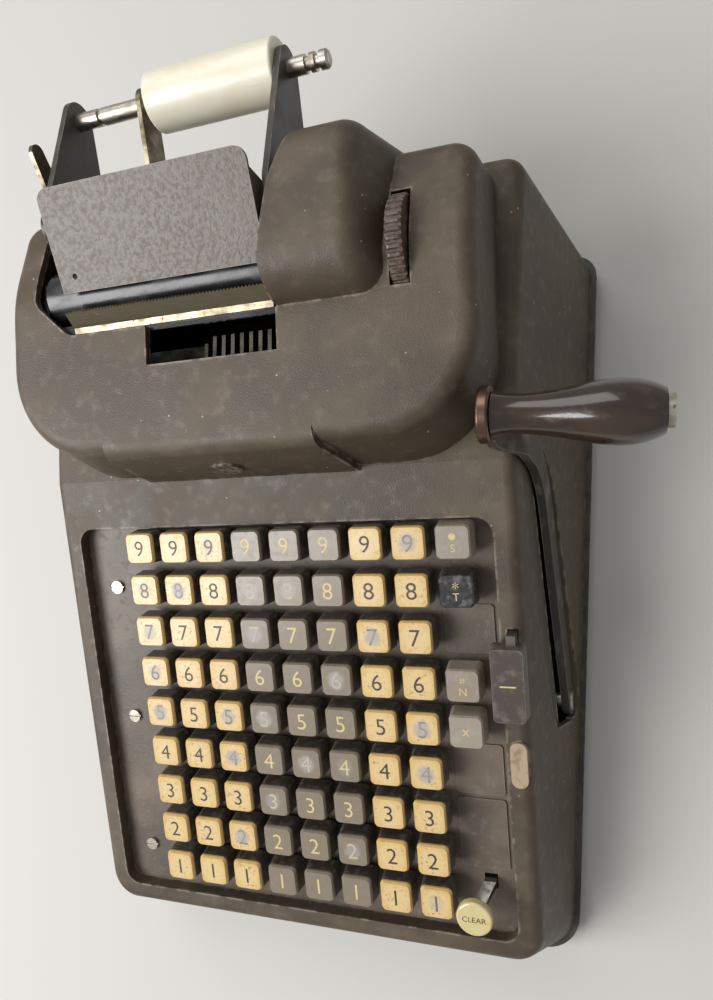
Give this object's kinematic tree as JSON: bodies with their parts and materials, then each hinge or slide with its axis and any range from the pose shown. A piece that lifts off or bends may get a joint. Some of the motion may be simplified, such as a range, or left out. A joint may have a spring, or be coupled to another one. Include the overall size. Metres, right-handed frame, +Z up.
{
  "type": "adding machine",
  "caption": "Hand-cranked desk adding machine with a full sloping keyboard, side crank, platen, tear bar and paper roll stand.",
  "frame": {"origin": "on the desk under the middle of the machine", "axes": "+X to the right, +Y to the rear, +Z up"},
  "size_m": [0.296, 0.3773, 0.1642],
  "materials": {
    "crinkle_paint": "fine crinkle paint",
    "black_steel": "satin black",
    "rubber": "semi-gloss",
    "cream_plastic": "moulded, worn",
    "bright_steel": "bright",
    "zinc_steel": "zinc plated",
    "brass": "worn",
    "brown_plastic": "polished",
    "badge_metal": "satin",
    "key_plastic": "moulded, worn",
    "grey_plastic": "moulded",
    "black_plastic": "moulded"
  },
  "bodies": {
    "machine": {"base_pan": "black_steel", "blank_covers": "black_steel", "body_case": "crinkle_paint", "case_screws": "bright_steel", "frame_rods": "bright_steel", "head_cover": "crinkle_paint", "keyboard_plate": "black_steel", "name_badge": "badge_metal", "paper_guide": "black_steel", "paper_table": "crinkle_paint", "roll_arms": "black_steel", "roll_keeper": "black_steel", "roll_rod": "bright_steel", "rubber_feet": "rubber", "side_frames": "zinc_steel", "slot_plug": "cream_plastic", "tear_bar": "brass", "type_guide": "zinc_steel"},
    "keys_row_1": {"key_caps_row_1": "key_plastic", "key_stems_row_1": "bright_steel"},
    "keys_row_2": {"key_caps_row_2": "key_plastic", "key_stems_row_2": "bright_steel"},
    "keys_row_3": {"key_caps_row_3": "key_plastic", "key_stems_row_3": "bright_steel"},
    "keys_row_4": {"key_caps_row_4": "key_plastic", "key_stems_row_4": "bright_steel"},
    "keys_row_5": {"key_caps_row_5": "key_plastic", "key_stems_row_5": "bright_steel"},
    "keys_row_6": {"key_caps_row_6": "key_plastic", "key_stems_row_6": "bright_steel"},
    "keys_row_7": {"key_caps_row_7": "key_plastic", "key_stems_row_7": "bright_steel"},
    "keys_row_8": {"key_caps_row_8": "key_plastic", "key_stems_row_8": "bright_steel"},
    "keys_row_9": {"key_caps_row_9": "key_plastic", "key_stems_row_9": "bright_steel"},
    "subtotal_key": {"subtotal_key_cap": "grey_plastic", "subtotal_key_stem": "bright_steel"},
    "total_key": {"total_key_cap": "black_plastic", "total_key_stem": "bright_steel"},
    "non_add_key": {"non_add_key_cap": "grey_plastic", "non_add_key_stem": "bright_steel"},
    "repeat_key": {"repeat_key_cap": "grey_plastic", "repeat_key_stem": "bright_steel"},
    "minus_key": {"minus_bar": "brown_plastic", "minus_bar_stem": "bright_steel"},
    "clear_key": {"clear_lever": "black_steel", "clear_button": "cream_plastic"},
    "crank": {"crank_shaft": "bright_steel", "crank_arm": "black_steel", "crank_collar": "brass", "handle_bolt": "bright_steel"},
    "grip": {"handle_grip": "brown_plastic"},
    "platen": {"platen_shaft": "bright_steel", "platen_roller": "rubber", "platen_thumbwheel": "brown_plastic"},
    "paper_core": {"roll_core": "cream_plastic"},
    "release_lever": {"paper_release_lever": "bright_steel"},
    "type_set": {"type_bars": "bright_steel"},
    "counters": {"counter_wheels": "zinc_steel"}
  },
  "joints": [
    {"name": "press_row_1", "type": "slide", "parent": "machine", "child": "keys_row_1", "axis": [0, 0.2419, -0.9703], "range_m": [0, 0.004], "stiffness_N_per_m": 900, "springref_m": -0.002},
    {"name": "press_row_2", "type": "slide", "parent": "machine", "child": "keys_row_2", "axis": [0, 0.2419, -0.9703], "range_m": [0, 0.004], "stiffness_N_per_m": 900, "springref_m": -0.002},
    {"name": "press_row_3", "type": "slide", "parent": "machine", "child": "keys_row_3", "axis": [0, 0.2419, -0.9703], "range_m": [0, 0.004], "stiffness_N_per_m": 900, "springref_m": -0.002},
    {"name": "press_row_4", "type": "slide", "parent": "machine", "child": "keys_row_4", "axis": [0, 0.2419, -0.9703], "range_m": [0, 0.004], "stiffness_N_per_m": 900, "springref_m": -0.002},
    {"name": "press_row_5", "type": "slide", "parent": "machine", "child": "keys_row_5", "axis": [0, 0.2419, -0.9703], "range_m": [0, 0.004], "stiffness_N_per_m": 900, "springref_m": -0.002},
    {"name": "press_row_6", "type": "slide", "parent": "machine", "child": "keys_row_6", "axis": [0, 0.2419, -0.9703], "range_m": [0, 0.004], "stiffness_N_per_m": 900, "springref_m": -0.002},
    {"name": "press_row_7", "type": "slide", "parent": "machine", "child": "keys_row_7", "axis": [0, 0.2419, -0.9703], "range_m": [0, 0.004], "stiffness_N_per_m": 900, "springref_m": -0.002},
    {"name": "press_row_8", "type": "slide", "parent": "machine", "child": "keys_row_8", "axis": [0, 0.2419, -0.9703], "range_m": [0, 0.004], "stiffness_N_per_m": 900, "springref_m": -0.002},
    {"name": "press_row_9", "type": "slide", "parent": "machine", "child": "keys_row_9", "axis": [0, 0.2419, -0.9703], "range_m": [0, 0.004], "stiffness_N_per_m": 900, "springref_m": -0.002},
    {"name": "press_subtotal", "type": "slide", "parent": "machine", "child": "subtotal_key", "axis": [0, 0.2419, -0.9703], "range_m": [0, 0.004], "stiffness_N_per_m": 300, "springref_m": -0.002},
    {"name": "press_total", "type": "slide", "parent": "machine", "child": "total_key", "axis": [0, 0.2419, -0.9703], "range_m": [0, 0.004], "stiffness_N_per_m": 300, "springref_m": -0.002},
    {"name": "press_non_add", "type": "slide", "parent": "machine", "child": "non_add_key", "axis": [0, 0.2419, -0.9703], "range_m": [0, 0.004], "stiffness_N_per_m": 300, "springref_m": -0.002},
    {"name": "press_repeat", "type": "slide", "parent": "machine", "child": "repeat_key", "axis": [0, 0.2419, -0.9703], "range_m": [0, 0.004], "stiffness_N_per_m": 300, "springref_m": -0.002},
    {"name": "press_minus", "type": "slide", "parent": "machine", "child": "minus_key", "axis": [0, 0.2419, -0.9703], "range_m": [0, 0.0035], "stiffness_N_per_m": 300, "springref_m": -0.002},
    {"name": "clear_swing", "type": "hinge", "parent": "machine", "child": "clear_key", "pos_m": [0.0827, -0.1196, 0.0426], "axis": [1, 0, 0], "range_deg": [0, 12], "stiffness_Nm_per_rad": 0.25, "springref_deg": -8.59},
    {"name": "crank_pull", "type": "hinge", "parent": "machine", "child": "crank", "pos_m": [0.117, -0.053, 0.021], "axis": [1, 0, 0], "range_deg": [0, 60], "stiffness_Nm_per_rad": 0.6, "springref_deg": -57.3},
    {"name": "grip_turn", "type": "hinge", "parent": "crank", "child": "grip", "pos_m": [0.0975, 0.0592, 0.129], "axis": [0.9983, -0.0576, 0], "continuous": true},
    {"name": "platen_turn", "type": "hinge", "parent": "machine", "child": "platen", "pos_m": [0, 0.122, 0.13098], "axis": [1, 0, 0], "continuous": true},
    {"name": "core_turn", "type": "hinge", "parent": "machine", "child": "paper_core", "pos_m": [0, 0.198, 0.13598], "axis": [1, 0, 0], "continuous": true},
    {"name": "release_swing", "type": "hinge", "parent": "machine", "child": "release_lever", "pos_m": [-0.078, 0.142, 0.11798], "axis": [1, 0, 0], "range_deg": [0, 12], "stiffness_Nm_per_rad": 0.1, "springref_deg": -17.19},
    {"name": "type_lift", "type": "slide", "parent": "machine", "child": "type_set", "axis": [0, 0, 1], "range_m": [0, 0.005]},
    {"name": "counter_turn", "type": "hinge", "parent": "machine", "child": "counters", "pos_m": [0, 0.078, 0.082], "axis": [1, 0, 0], "range_deg": [0, 120]}
  ],
  "couplings": [
    {"joint": "type_lift", "follows": "crank_pull", "m_per_rad": 0.004765},
    {"joint": "counter_turn", "follows": "crank_pull", "ratio": 1.8}
  ]
}
